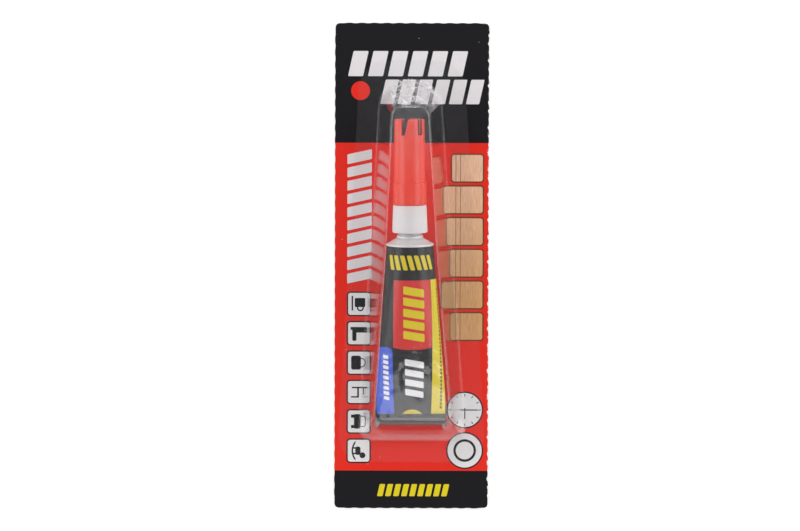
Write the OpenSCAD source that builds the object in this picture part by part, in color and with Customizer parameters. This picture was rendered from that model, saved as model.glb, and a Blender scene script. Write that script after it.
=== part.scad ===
// Glue tube with a screw-on nozzle and cap, sealed under a clear blister on a printed card.
// The card lies on its back with its head towards +Y. The origin is the middle of its back face.
// Pieces of the tube are drawn along their own axis: z = 0 at the shoulder rim, +z towards the cap,
// -y towards the front of the card. on_tube_axis() then lays them on the card.

/* [Card] */
// Width of the card, without the waves of its edges
card_w = 44; // [42:0.5:60]
// Height of the card, without the waves of its edges
card_h = 139; // [126:0.5:170]
// Thickness of the board
card_t = 0.5; // [0.3:0.05:1]
// Radius of the card's corners
card_corner_r = 1.2; // [0.6:0.1:4]
// Spacing of the shallow waves along the cut edges
wave_pitch = 3.6; // [2.4:0.1:5]
// How far a wave stands out from its edge
wave_h = 0.15; // [0.05:0.01:0.3]
// Spacing of the torn bites along the right edge
tear_pitch = 2.4; // [1.6:0.1:4]
// Depth of the deepest bite
tear_depth = 0.4; // [0.1:0.05:0.6]

/* [Tube] */
// Diameter of the round end of the tube
tube_d = 13.3; // [12:0.1:15]
// Thickness of the tube's wall
tube_wall = 0.15; // [0.1:0.01:0.25]
// Length from the shoulder rim to the crimp
body_len = 49; // [42:0.5:52]
// Height of the shoulder's cone
shoulder_h = 1.5; // [1:0.1:2]
// Thickness of the metal of the shoulder
shoulder_wall = 0.7; // [0.4:0.05:1]
// How far the rolled shoulder rim stands proud of the wall
rim_bead = 0.1; // [0.05:0.01:0.3]
// Height of the rolled shoulder rim
rim_h = 0.7; // [0.5:0.05:1.2]
// Height of the flat tail below the body
crimp_h = 3.6; // [3.2:0.1:5]
// Height of the fold at the foot of the flat tail
fold_h = 2.5; // [2:0.1:2.8]
// Gap between the walls where they come together at the tail
tail_gap = 0.1; // [0.06:0.01:0.2]
// Air between the layers of the fold
fold_air = 0.06; // [0.03:0.01:0.12]
// Length of the sealant in the tail
sealant_len = 2.4; // [1.5:0.1:4]
// Empty length of tail between the sealant and the crimp
tail_empty = 0.6; // [0.4:0.1:1.5]
// Height of the shoulder rim above the card's middle
shoulder_y = 6.6; // [4:0.1:9]
// Place of the shoulder rim beside the card's middle, right of it if above zero
shoulder_x = -0.55; // [-1:0.05:1]
// Turn of the loose tube on the card, cap end to the left if above zero
swerve = 0.45; // [-1:0.05:1]
// Lean of the tube off the card, cap end up, as it lies on its rim and belly
tilt = 5; // [3:0.5:6]

/* [Neck] */
// Diameter of the neck
neck_d = 6.6; // [6:0.1:7.2]
// Diameter of the hole through the neck
neck_bore_d = 4.2; // [3.6:0.1:5]
// Height of the neck above the shoulder
neck_h = 6.3; // [5.5:0.1:6.8]
// How far the bead at the foot of the neck stands proud of it
neck_bead = 0.42; // [0.2:0.02:0.5]
// Height of that bead
neck_bead_h = 0.9; // [0.6:0.1:1.2]
// Thickness of the foil seal on the neck
seal_t = 0.1; // [0.05:0.01:0.15]

/* [Nozzle] */
// Largest diameter of the nozzle's skirt
skirt_d = 10; // [9.8:0.1:11]
// Height of the skirt
skirt_h = 7.9; // [7.4:0.1:9]
// How much narrower the skirt is at its top
skirt_taper = 0.5; // [0.1:0.1:0.8]
// Radius of the skirt's edges
skirt_edge_r = 0.4; // [0.2:0.1:0.5]
// How far the nozzle screws down to pierce the seal
pierce_travel = 1.6; // [1:0.1:1.8]
// Length of the spout above the skirt
spout_h = 16.5; // [14:0.1:17]
// Diameter of the spout's threaded foot
spout_thread_d = 6.2; // [5.6:0.1:6.6]
// Height of the spout's threaded foot
spout_thread_h = 5; // [4:0.1:5.6]
// Diameter of the spout just above its thread
spout_root_d = 5; // [4.4:0.1:5.4]
// Diameter of the spout's tip
spout_tip_d = 2.2; // [1.8:0.1:2.8]
// Diameter of the glue channel
channel_d = 1; // [0.8:0.05:1.2]
// Diameter of the hollow spike where it leaves the nozzle
spike_d = 2.4; // [2:0.1:3]
// Thickness of the spike's wall at its point
spike_point_t = 0.25; // [0.15:0.05:0.4]

/* [Cap] */
// Diameter of the cap's lower band
cap_d = 9.55; // [9.2:0.05:9.8]
// Height of the lower band
cap_band_h = 6.2; // [5:0.1:8]
// Diameter of the cap just above the band
cap_waist_d = 9; // [8.8:0.05:9.1]
// Diameter of the cap at its top
cap_top_d = 8.5; // [8.2:0.05:8.8]
// Height of the cap
cap_h = 24.1; // [23.4:0.1:25]
// Radius of the crown's outer edge
crown_edge_r = 0.35; // [0.1:0.05:0.5]
// Thickness of the floor that carries the pin
cap_floor_t = 1.5; // [1.3:0.1:1.8]
// Thickness of the crown's wall
crown_wall = 0.75; // [0.6:0.05:1]
// Number of slots in the crown
slot_count = 5; // [4:1:6]
// Width of a slot
slot_w = 1.8; // [1.2:0.1:2]
// Depth of a slot
slot_depth = 4.5; // [3:0.1:4.8]
// How much narrower the foot of the one bent slot is
slot_pinch = 0.45; // [0.2:0.05:0.6]
// How much the bent slot widens from its foot to its top
slot_flare = 0.9; // [0.2:0.05:1]
// Turn of the bent slot away from the front
slot_turn = -25; // [-30:1:30]
// Rise of the cap for each turn on its thread
cap_pitch = 1.2; // [1:0.1:1.4]
// Turns that free the cap from its thread
cap_turns = 2; // [1:0.5:2]
// Diameter of the steel pin that plugs the channel
pin_d = 0.6; // [0.4:0.05:0.7]
// Length of the pin below the cap's floor
pin_len = 5; // [3:0.1:8]
// Depth of the pin's seat in the cap's floor
pin_seat = 1; // [0.6:0.1:1.1]

/* [Blister] */
// Thickness of the clear film
film_t = 0.3; // [0.2:0.05:0.4]
// Room between the film's roof and the tube
roof_clear = 0.35; // [0.2:0.05:0.8]
// How far the dome spreads from its roof to the card
dome_flare = 4.8; // [4:0.1:5.4]
// How much further it spreads at the cap's end
dome_toe = 3.7; // [2:0.1:4.5]
// Radius of the roof's corners
roof_corner_r = 3; // [2.4:0.1:3.6]
// Radius of the edge round the roof
roof_edge_r = 1.6; // [0.8:0.1:2]
// Free length between the raised cap and the end of the roof
head_room = 1.3; // [0.8:0.1:3]
// Width of the sealed flange
flange_w = 5.4; // [3:0.1:6]
// Radius of the flange's corners
flange_corner_r = 8; // [5:0.5:10]

/* [Fits] */
// Gap under the tube where it lies on the card
rest_gap = 0.1; // [0.05:0.01:0.2]
// Gap where a screwed piece comes to its stop
seat_clear = 0.15; // [0.05:0.01:0.2]
// Gap round a thread
thread_clear = 0.3; // [0.2:0.05:0.4]
// Gap between the spout's tip and the cap's floor
tip_clear = 0.6; // [0.3:0.1:0.8]
// Gap between the closed cap and the nozzle
cap_clear = 0.05; // [0.03:0.01:0.1]
// Gap round what fills the tube
fill_clear = 0.05; // [0.03:0.01:0.08]
// Gap round the pin in its seat
pin_clear = 0.03; // [0.02:0.01:0.05]

/* [Hidden] */
$fn = 96;
hull_fn = 32;
arc_steps = 4;
loft_sides = 48;
loft_rings = 14;
// Length by which cuts run past what they cut, and joined walls run into each other
overrun = 0.3;

// Tube
tube_r = tube_d / 2;
rim_r = tube_r + rim_bead;
rim_edge_r = rim_h / 2;
fold_layer = 2 * tube_wall + tail_gap;
crimp_half_w = PI * (tube_r - tube_wall / 2) / 2;
tail_len = body_len + crimp_h;
// A collapsing tube keeps the length round its wall, which makes its depth fall by about this power
collapse_power = 0.59;
closed_half_depth = tube_wall + tail_gap / 4;
gel_from = rim_h + fill_clear;
sealant_to = body_len - tail_empty;
sealant_from = sealant_to - sealant_len;

// Neck, nozzle and cap, as heights along the tube's axis
neck_r = neck_d / 2;
bead_r = neck_r + neck_bead;
neck_top = shoulder_h + neck_h;
seal_top = neck_top + seal_t;
skirt_r = skirt_d / 2;
skirt_bore_r = bead_r + thread_clear;
cone_r = rim_r - rim_edge_r;
skirt_landing = shoulder_h * (cone_r - skirt_bore_r) / (cone_r - bead_r) + seat_clear;
skirt_z = skirt_landing + pierce_travel;
spike_tip_z = seal_top + seat_clear;
ceiling_z = spike_tip_z + pierce_travel;
collar_z = skirt_z + skirt_h;
spout_thread_z = collar_z + spout_thread_h;
spout_tip_z = collar_z + spout_h;
cap_z = collar_z + cap_clear;
cap_band_z = cap_z + cap_band_h;
cap_top_z = cap_z + cap_h;
cap_floor_z = spout_tip_z + tip_clear;
crown_z = cap_floor_z + cap_floor_t;
crown_r = cap_top_d / 2 - crown_wall;
cap_lift = cap_pitch * cap_turns;

// Lie of the tube: its lowest point, on its rim, belly or tail, rests on the card
function rest_depth(s, r) = s * sin(tilt) + r * cos(tilt);
belly_depth = max([for (t = [0:0.02:1]) rest_depth(body_len * t, half_depth(t))]);
axis_z = card_t + rest_gap
    + max(belly_depth, rest_depth(rim_h, rim_r), rest_depth(tail_len, fold_layer / 2));
function axis_y(s) = shoulder_y + s * cos(tilt);
function front_y(s, r) = axis_y(s) - r * sin(tilt);
function front_z(s, r) = axis_z + s * sin(tilt) + r * cos(tilt);

// Roof of the blister: a plane over the shoulder rim and the raised cap
raised_top = cap_top_z + cap_lift;
rim_front = [front_y(0, rim_r), front_z(0, rim_r)];
cap_front = [front_y(raised_top, cap_top_d / 2), front_z(raised_top, cap_top_d / 2)];
roof_slope = (cap_front[1] - rim_front[1]) / (cap_front[0] - rim_front[0]);
function roof_z(y) = rim_front[1] + roof_clear + film_t + roof_slope * (y - rim_front[0]);
roof_head_y = cap_front[0] + head_room;
roof_tail_y = axis_y(-tail_len) - roof_clear;
// Stations of the dome: [y of the roof's corners, y of the base's corners, half width of the roof]
dome_stations = [
    [roof_head_y - roof_corner_r, roof_head_y - roof_corner_r + dome_toe, cap_d / 2 + roof_clear],
    [shoulder_y, shoulder_y, rim_r + roof_clear],
    [roof_tail_y + roof_corner_r, roof_tail_y + roof_corner_r, crimp_half_w + roof_clear]
];
base_head_y = roof_head_y + dome_toe + dome_flare;
base_tail_y = roof_tail_y - dome_flare;

// What a record of the joints needs: the tube's axis, a point on it and the travels
echo(axis_point = [shoulder_x, shoulder_y, axis_z]);
echo(axis = [-sin(swerve) * cos(tilt), cos(swerve) * cos(tilt), sin(tilt)]);
echo(pierce_travel = pierce_travel, cap_lift = cap_lift, cap_turn = 360 * cap_turns);

// Shapes used by several pieces

module on_tube_axis() {
    translate([shoulder_x, shoulder_y, axis_z]) rotate([tilt - 90, 0, swerve]) children();
}

module turned(profile) {
    rotate_extrude() polygon(profile);
}

function arc(centre, r, from, to, steps = arc_steps) =
    [for (i = [0:steps]) let (a = from + (to - from) * i / steps) centre + r * [cos(a), sin(a)]];

// Half width and half depth of the collapsed tube, at a share t of the way from the rim to the crimp
function half_width(t) = tube_r + (crimp_half_w - tube_r) * t;
function half_depth(t) = closed_half_depth + (tube_r - closed_half_depth) * pow(1 - t, collapse_power);
function tube_ring(s, inset) =
    let (t = s / body_len, a = half_width(t) - inset, b = half_depth(t) - inset)
    [for (i = [0:loft_sides - 1]) let (turn = 360 * i / loft_sides) [a * cos(turn), b * sin(turn), -s]];
// Rings from one length below the rim to another, closer together towards the crimp, where the tube shuts
function loft_points(from, to, inset) = [
    for (i = [0:loft_rings])
        each tube_ring(to - (to - from) * pow(1 - i / loft_rings, 1.7), inset)
];
function loft_faces(first, outward) = [
    for (i = [0:loft_rings - 1], j = [0:loft_sides - 1])
        let (
            a = first + i * loft_sides + j,
            b = first + i * loft_sides + (j + 1) % loft_sides,
            c = b + loft_sides,
            d = a + loft_sides
        )
        each outward ? [[a, b, c], [a, c, d]] : [[a, c, b], [a, d, c]]
];
function rim_faces(outer, inner, upward) = [
    for (j = [0:loft_sides - 1])
        let (k = (j + 1) % loft_sides)
        each upward
            ? [[outer + j, inner + j, inner + k], [outer + j, inner + k, outer + k]]
            : [[outer + j, inner + k, inner + j], [outer + j, outer + k, inner + k]]
];

// The thin wall of the tube, open at the shoulder and at the crimp
module collapsed_wall() {
    inner = (loft_rings + 1) * loft_sides;
    last = loft_rings * loft_sides;
    polyhedron(
        points = concat(
            loft_points(rim_edge_r, body_len, 0),
            loft_points(rim_edge_r, body_len, tube_wall)
        ),
        faces = concat(
            loft_faces(0, true),
            loft_faces(inner, false),
            rim_faces(0, inner, true),
            rim_faces(last, inner + last, false)
        )
    );
}

// A solid that fills the tube between two lengths below its rim
module tube_filling(from, to) {
    last = loft_rings * loft_sides;
    polyhedron(
        points = loft_points(from, to, tube_wall + fill_clear),
        faces = concat(
            loft_faces(0, true),
            [[for (j = [loft_sides - 1:-1:0]) j]],
            [[for (j = [0:loft_sides - 1]) last + j]]
        )
    );
}

// Card

// Places of marks at a pitch along an edge, centred between its corners
function edge_marks(length, pitch) =
    let (count = floor((length - 2 * card_corner_r) / pitch) - 1)
    [for (i = [0:count]) (i - count / 2) * pitch];
// Points along one edge of the card from left to right, with the edge at y = 0
function cut_edge(length) = [
    for (x = edge_marks(length, wave_pitch))
        each [
            [x - 0.38 * wave_pitch, 0],
            [x - 0.12 * wave_pitch, wave_h],
            [x + 0.12 * wave_pitch, wave_h],
            [x + 0.38 * wave_pitch, 0]
        ]
];
function torn_edge(length) =
    let (marks = edge_marks(length, tear_pitch))
    [
        for (i = [0:len(marks) - 1])
            let (
                x = marks[i],
                bite = tear_depth * (0.6 + 0.4 * sin(137 * i)),
                ridge = i % 3 == 0 ? wave_h : 0
            )
            each [
                [x - 0.3 * tear_pitch, ridge],
                [x - 0.1 * tear_pitch, -bite],
                [x + 0.08 * tear_pitch, -0.6 * bite],
                [x + 0.3 * tear_pitch, 0.4 * ridge]
            ]
    ];
// An edge at its distance from the card's middle with the corner at its right end, turned into place
function card_side(edge, length, reach, turn) = [
    for (p = concat(
        [for (q = edge) q + [0, reach]],
        arc([length / 2 - card_corner_r, reach - card_corner_r], card_corner_r, 90, 0)
    ))
        [p[0] * cos(turn) - p[1] * sin(turn), p[0] * sin(turn) + p[1] * cos(turn)]
];

module backing_card() {
    color([0.80, 0.16, 0.14])
        linear_extrude(card_t)
            polygon(concat(
                card_side(cut_edge(card_w), card_w, card_h / 2, 0),
                card_side(torn_edge(card_h), card_h, card_w / 2, -90),
                card_side(cut_edge(card_w), card_w, card_h / 2, -180),
                card_side(cut_edge(card_h), card_h, card_w / 2, -270)
            ));
}

// Blister

module roof_corner(r, edge_r) {
    rotate_extrude($fn = hull_fn)
        polygon(concat([[0, edge_r], [0, 0], [r, 0]], arc([r - edge_r, 0], edge_r, 0, 90)));
}

// The dome as a solid between two neighbouring stations, taken in all round by an inset
module dome_bay(first, inset, base_z) {
    edge_r = roof_edge_r - inset;
    hull()
        for (station = [dome_stations[first], dome_stations[first + 1]], side = [-1, 1]) {
            x = side * (station[2] - roof_corner_r);
            translate([x, station[0], roof_z(station[0] + roof_corner_r) - inset - edge_r])
                roof_corner(roof_corner_r - inset, edge_r);
            translate([x, station[1], base_z])
                cylinder(h = film_t, r = roof_corner_r + dome_flare - inset, $fn = hull_fn);
        }
}

module dome(inset, base_z) {
    for (bay = [0:len(dome_stations) - 2]) dome_bay(bay, inset, base_z);
}

module flange() {
    reach = dome_flare + flange_w - flange_corner_r;
    head = [dome_stations[0][2] + reach, base_head_y + flange_w - flange_corner_r];
    tail = [dome_stations[2][2] + reach, base_tail_y - flange_w + flange_corner_r];
    translate([0, 0, card_t])
        linear_extrude(film_t)
            hull()
                for (corner = [head, tail], side = [-1, 1])
                    translate([side * corner[0], corner[1]]) circle(r = flange_corner_r, $fn = 2 * hull_fn);
}

module blister() {
    color([0.9, 0.93, 0.95, 0.3])
        difference() {
            union() {
                flange();
                dome(0, card_t);
            }
            dome(film_t, card_t - film_t / 2);
        }
}

// Tube

module shoulder_and_neck() {
    bore_r = neck_bore_d / 2;
    inner_r = tube_r - 2 * tube_wall;
    turned(concat(
        [[inner_r, -rim_h], [rim_r, -rim_h]],
        arc([cone_r, -rim_edge_r], rim_edge_r, 0, 90),
        [[bead_r, shoulder_h]],
        arc([neck_r, shoulder_h + neck_bead_h - neck_bead], neck_bead, 0, 90),
        [[neck_r, neck_top], [bore_r, neck_top], [bore_r, shoulder_h - shoulder_wall]]
    ));
}

// Section of the tail, folded twice to the front, with the bottom of the fold at y = 0
module fold_section() {
    step = fold_layer + fold_air;
    low_bend_r = step + fold_layer / 2;
    top_bend_r = step / 2 + fold_layer / 2;
    module layer(index, to) {
        translate([-index * step - fold_layer / 2, low_bend_r]) square([fold_layer, to - low_bend_r]);
    }
    module bend(centre, r, upper) {
        translate(centre)
            intersection() {
                difference() {
                    circle(r = r);
                    circle(r = r - fold_layer);
                }
                translate([-2 * r, upper ? 0 : -2 * r]) square([4 * r, 2 * r]);
            }
    }
    layer(0, crimp_h + overrun);
    bend([-step, low_bend_r], low_bend_r, false);
    layer(2, fold_h - top_bend_r);
    bend([-1.5 * step, fold_h - top_bend_r], top_bend_r, true);
    layer(1, fold_h - top_bend_r);
}

module tube_body() {
    color([0.75, 0.76, 0.78])
        on_tube_axis() {
            shoulder_and_neck();
            collapsed_wall();
            translate([-crimp_half_w, 0, -tail_len])
                rotate([90, 0, 90]) linear_extrude(2 * crimp_half_w) fold_section();
        }
}

module glue_gel() {
    color([0.93, 0.92, 0.86]) on_tube_axis() tube_filling(gel_from, sealant_from - fill_clear);
}

module tail_sealant() {
    color([0.85, 0.80, 0.62]) on_tube_axis() tube_filling(sealant_from, sealant_to);
}

module neck_seal() {
    color([0.8, 0.81, 0.83]) on_tube_axis() translate([0, 0, neck_top]) cylinder(h = seal_t, r = neck_r);
}

// Nozzle

module nozzle() {
    channel_r = channel_d / 2;
    top_r = skirt_r - skirt_taper / 2;
    color([0.93, 0.93, 0.93])
        on_tube_axis()
            turned(concat(
                [[channel_r, spike_tip_z], [channel_r + spike_point_t, spike_tip_z]],
                [[spike_d / 2, ceiling_z], [skirt_bore_r, ceiling_z], [skirt_bore_r, skirt_z]],
                arc([skirt_r - skirt_edge_r, skirt_z + skirt_edge_r], skirt_edge_r, -90, 0),
                arc([top_r - skirt_edge_r, collar_z - skirt_edge_r], skirt_edge_r, 0, 90),
                [[spout_thread_d / 2, collar_z], [spout_thread_d / 2, spout_thread_z]],
                [[spout_root_d / 2, spout_thread_z]],
                [[spout_tip_d / 2, spout_tip_z], [channel_r, spout_tip_z]]
            ));
}

// Cap

// A slot through the front of the crown's wall, with its right side taken in at the foot and flared above
module crown_slot(pinch, flare) {
    top = slot_depth + overrun;
    foot_x = slot_w / 2 - pinch;
    translate([0, crown_wall - cap_top_d / 2 + overrun, cap_top_z - slot_depth])
        rotate([90, 0, 0])
            linear_extrude(crown_wall + cap_waist_d - cap_top_d + 2 * overrun)
                polygon([
                    [-slot_w / 2, 0],
                    [foot_x, 0],
                    [foot_x + flare * top / slot_depth, top],
                    [-slot_w / 2, top]
                ]);
}

module cap() {
    bore_r = spout_thread_d / 2 + thread_clear;
    bore_z = spout_thread_z + thread_clear;
    seat_r = pin_d / 2 + pin_clear;
    seat_z = cap_floor_z + pin_seat + pin_clear;
    color([0.86, 0.20, 0.15])
        on_tube_axis()
            difference() {
                turned(concat(
                    [[bore_r, cap_z], [cap_d / 2, cap_z]],
                    [[cap_d / 2, cap_band_z], [cap_waist_d / 2, cap_band_z]],
                    arc([cap_top_d / 2 - crown_edge_r, cap_top_z - crown_edge_r], crown_edge_r, 0, 90),
                    [[crown_r, cap_top_z], [crown_r, crown_z], [0, crown_z]],
                    [[0, seat_z], [seat_r, seat_z], [seat_r, cap_floor_z]],
                    [[spout_tip_d / 2 + thread_clear, cap_floor_z]],
                    [[spout_root_d / 2 + thread_clear, bore_z], [bore_r, bore_z]]
                ));
                rotate(slot_turn) crown_slot(slot_pinch, slot_flare);
                for (i = [1:slot_count - 1])
                    rotate(slot_turn + 360 * i / slot_count) crown_slot(0, 0);
            }
}

module cap_pin() {
    color([0.78, 0.79, 0.80])
        on_tube_axis()
            translate([0, 0, cap_floor_z])
                turned([[0, -pin_len], [pin_d / 2, pin_d - pin_len], [pin_d / 2, pin_seat], [0, pin_seat]]);
}

backing_card();
blister();
tube_body();
glue_gel();
tail_sealant();
neck_seal();
nozzle();
cap_pin();
cap();
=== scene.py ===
"""Looks of a carded glue tube: its visible pieces, finishes and studio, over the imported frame."""

import math
from contextlib import contextmanager

import bmesh
import bpy
from bpy.props import FloatProperty, FloatVectorProperty, IntProperty, PointerProperty
from bpy.types import Operator, Panel, PropertyGroup
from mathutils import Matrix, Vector


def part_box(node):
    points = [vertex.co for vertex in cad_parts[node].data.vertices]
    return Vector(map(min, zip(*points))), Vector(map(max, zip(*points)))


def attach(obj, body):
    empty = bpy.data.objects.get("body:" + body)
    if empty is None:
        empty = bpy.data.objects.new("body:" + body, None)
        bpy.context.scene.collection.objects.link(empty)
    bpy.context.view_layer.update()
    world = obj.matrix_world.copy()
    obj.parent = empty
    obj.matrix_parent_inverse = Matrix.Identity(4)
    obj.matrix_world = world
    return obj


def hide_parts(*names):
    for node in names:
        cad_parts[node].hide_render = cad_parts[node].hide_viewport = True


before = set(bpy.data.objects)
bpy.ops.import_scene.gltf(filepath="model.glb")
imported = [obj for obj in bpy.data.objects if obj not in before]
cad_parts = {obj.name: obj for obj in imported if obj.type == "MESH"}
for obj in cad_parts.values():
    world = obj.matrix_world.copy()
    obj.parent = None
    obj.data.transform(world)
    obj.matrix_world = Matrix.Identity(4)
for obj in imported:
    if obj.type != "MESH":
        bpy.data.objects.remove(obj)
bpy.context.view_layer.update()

bl_info = {
    "name": "Carded Glue Tube",
    "version": (1, 0, 0),
    "blender": (4, 5, 0),
    "location": "View3D > Sidebar > Glue Tube",
    "description": "Builds a small glue tube under a clear blister on a printed card",
    "category": "Add Mesh",
}

MM = 0.001
# The tube's axis: where its shoulder rim is, and how far the cap end leans off the card and to the left
SHOULDER = (-0.55 * MM, 6.6 * MM, 7.38532 * MM)
LEAN = math.radians(5)
SWERVE = math.radians(0.45)
ON_AXIS = (LEAN - math.pi / 2, 0, SWERVE)
FILM_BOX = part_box("blister")


def ink(red, green, blue):
    """A colour as printed, in steps of 255, as the linear values that a shader takes."""
    return tuple(
        step / 3294.6 if step <= 10 else ((step / 255 + 0.055) / 1.055) ** 2.4
        for step in (red, green, blue)
    )


def darker(tone, share):
    """A colour with its light brought down to a share."""
    return tuple(share * part for part in tone)


def length(label, text, millimetres):
    """A property for a length, given in millimetres."""
    return FloatProperty(name=label, description=text, default=millimetres * MM, unit="LENGTH", precision=5)


def lengths(label, text, *millimetres):
    """A property for three lengths, given in millimetres."""
    return FloatVectorProperty(
        name=label, description=text, default=[value * MM for value in millimetres],
        size=3, unit="LENGTH", precision=5,
    )


def angle(label, text, degrees):
    """A property for an angle, given in degrees."""
    return FloatProperty(name=label, description=text, default=math.radians(degrees), subtype="ANGLE")


def level(label, text, value):
    """A property for a plain number."""
    return FloatProperty(name=label, description=text, default=value, min=0, soft_max=10, subtype="FACTOR")


def count(label, text, value):
    """A property for a number of like things."""
    return IntProperty(name=label, description=text, default=value, min=1, subtype="UNSIGNED")


def colour(label, text, *steps):
    """A property for a colour, given as printed."""
    return FloatVectorProperty(
        name=label, description=text, default=ink(*steps), subtype="COLOR", size=3, min=0, max=1
    )


# Settings


class TubeSettings(PropertyGroup):
    """Sizes and printed colours of the tube."""

    radius: length("Radius", "Radius of the round end of the tube", 6.65)
    rim: length("Rim", "Radius over the rolled rim", 6.75)
    wall: length("Wall", "Thickness of the tube's wall", 0.15)
    body: length("Body", "Length from the shoulder rim to the crimp", 49)
    crimp: length("Crimp", "Height of the flat tail below the body", 3.6)
    fold: length("Fold", "Height of the fold at the foot of the flat tail", 2.5)
    crimp_half: length("Half crimp", "Half of the crimp's width", 10.329)
    tail_half: length("Half tail", "Half of the tube's depth where its walls meet", 0.175)
    layer: length("Layer", "Thickness of one layer of the fold", 0.4)
    layer_step: length("Layer step", "Distance between two layers of the fold", 0.46)
    cone: length("Cone", "Height of the shoulder cone", 1.5)
    neck: length("Neck", "Radius of the neck", 3.3)
    neck_bead: length("Neck bead", "Radius over the bead at the foot of the neck", 3.72)
    neck_top: length("Neck top", "Height of the neck's end over the rim", 7.8)
    neck_bore: length("Neck bore", "Radius of the neck's bore", 2.1)
    collapse: level("Collapse", "Power by which the depth falls to the tail", 0.59)
    rings: count("Rings", "Number of rings along the tube", 36)
    black: colour("Black", "Ground of the print", 17, 17, 19)
    red: colour("Red", "Upper panel of the print", 214, 48, 44)
    yellow: colour("Yellow", "Side stripe of the print", 224, 202, 26)
    blue: colour("Blue", "Lower panel of the print", 58, 92, 214)
    white: colour("White", "Marks of the print", 236, 234, 238)
    metal: colour("Metal", "Bare aluminium", 232, 230, 231)


class NozzleSettings(PropertyGroup):
    """Sizes and colour of the nozzle, with heights over the tube's rim."""

    skirt_from: length("Skirt from", "Height of the skirt's lower edge", 3.08)
    skirt_to: length("Skirt to", "Height of the skirt's upper edge", 10.98)
    skirt_foot: length("Skirt foot", "Radius of the skirt at its foot", 5)
    skirt_top: length("Skirt top", "Radius of the skirt at its top", 4.75)
    bore: length("Bore", "Radius of the skirt's bore", 4.02)
    ceiling: length("Ceiling", "Height of the bore's end", 9.65)
    spike: length("Spike", "Height of the hollow spike's point", 8.05)
    channel: length("Channel", "Radius of the glue channel", 0.5)
    thread_radius: length("Thread", "Radius over the spout's thread", 3.1)
    thread_pitch: length("Pitch", "Rise of the thread for each turn", 1.2)
    thread_to: length("Thread to", "Height of the thread's end", 15.98)
    tip: length("Tip", "Height of the spout's tip", 27.48)
    tip_radius: length("Tip radius", "Radius of the spout's tip", 1.1)
    plastic: colour("Plastic", "White polyethylene", 232, 228, 229)
    # Painted light: red reflected from the cap, laid over the collar's own colour
    painted_cap_glow: colour("Tint", "Red that shines into the top of the collar", 244, 148, 142)


class CapSettings(PropertyGroup):
    """Sizes and colour of the cap, with heights over the tube's rim."""

    foot: length("Foot", "Height of the cap's lower edge", 11.03)
    band: length("Band", "Height of the band's upper edge", 17.23)
    top: length("Top", "Height of the crown's edge", 35.13)
    band_radius: length("Band radius", "Radius of the lower band", 4.775)
    waist_radius: length("Waist radius", "Radius just above the band", 4.5)
    top_radius: length("Top radius", "Radius of the crown", 4.25)
    bore: length("Bore", "Radius of the threaded bore", 3.4)
    bore_to: length("Bore to", "Height of the threaded bore's end", 16.28)
    floor_from: length("Floor from", "Height of the floor's underside", 28.08)
    floor_to: length("Floor to", "Height of the floor's upper side", 29.58)
    pin_seat: length("Pin seat", "Radius of the hole for the pin", 0.33)
    crown: length("Crown", "Radius of the cup in the crown", 3.5)
    slots: count("Slots", "Number of slots in the crown", 5)
    slot_width: length("Slot width", "Width of a slot", 1.7)
    slot_depth: length("Slot depth", "Depth of a slot", 4.5)
    slot_pinch: length("Slot pinch", "How far the first slot is taken in on its left", 0.45)
    slot_flare: length("Slot flare", "How much the first slot widens towards its top", 0.95)
    slot_turn: angle("Slot turn", "Turn of the first slot away from the front", -27)
    plastic: colour("Plastic", "Red polypropylene", 246, 66, 46)


class FilmSettings(PropertyGroup):
    """Sizes of the clear blister; places and halves are at its head, the tube's shoulder and its tail."""

    thickness: length("Thickness", "Thickness of the film", 0.27)
    middle: lengths("Middle", "Where the dome's middle is across the card", -0.58, -0.22, 0.25)
    roof_y: lengths("Roof places", "Where the roof's corners are along the card", 44.92, 6.6, -44)
    roof_half: lengths("Roof halves", "Half widths of the roof", 5.25, 7.4, 11.03)
    knee_y: lengths("Knee places", "Where the wall bends above its foot", 52.44, 6.6, -48.2)
    knee_half: lengths("Knee halves", "Half widths of the dome at that bend", 8.12, 11.03, 14.9)
    foot_y: lengths("Foot places", "Where the dome meets the flange along the card", 53.42, 6.6, -50.2)
    foot_half: lengths("Foot halves", "Half widths of the dome at the flange", 8.5, 11.5, 15.5)
    flange_y: lengths("Flange places", "Where the flange's corners are along the card", 58.82, 6.6, -56.35)
    flange_half: lengths("Flange halves", "Half widths of the flange", 14.89, 17.815, 21.34)
    head_corners: lengths("Head corners", "Radii at the head of roof, foot and flange", 3, 7.5, 8)
    tail_corners: lengths("Tail corners", "Radii at the tail of roof, foot and flange", 3, 3, 8)
    knee_corner: length("Knee corner", "Radius of the bend's corners at the tail", 8.5)
    knee: length("Knee", "Height of the bend over the flange", 1.65)
    slope: level("Slope", "Rise of the roof towards its head", 0.0166)
    roof_edge: length("Roof edge", "Width of the rounding along the roof's edge", 0.7)
    foot_edge: length("Foot edge", "Width of the rounding where the dome meets the flange", 0.6)


class CardSettings(PropertyGroup):
    """Colours of the printed card."""

    red: colour("Red", "Ground of the card", 231, 49, 38)
    black: colour("Black", "Head and foot of the card", 30, 29, 32)
    white: colour("White", "Large marks", 226, 222, 224)
    grey: colour("Grey", "Ground of the small signs", 232, 229, 230)
    gold: colour("Gold", "Planks at the right, at the head", 246, 202, 170)
    deep_gold: colour("Deep gold", "Planks at the right, at the foot", 221, 170, 118)
    brown: colour("Brown", "Grain and outline of the planks", 112, 66, 40)
    yellow: colour("Yellow", "Marks at the foot", 226, 206, 40)
    board: colour("Board", "Bare board", 224, 219, 210)


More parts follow.
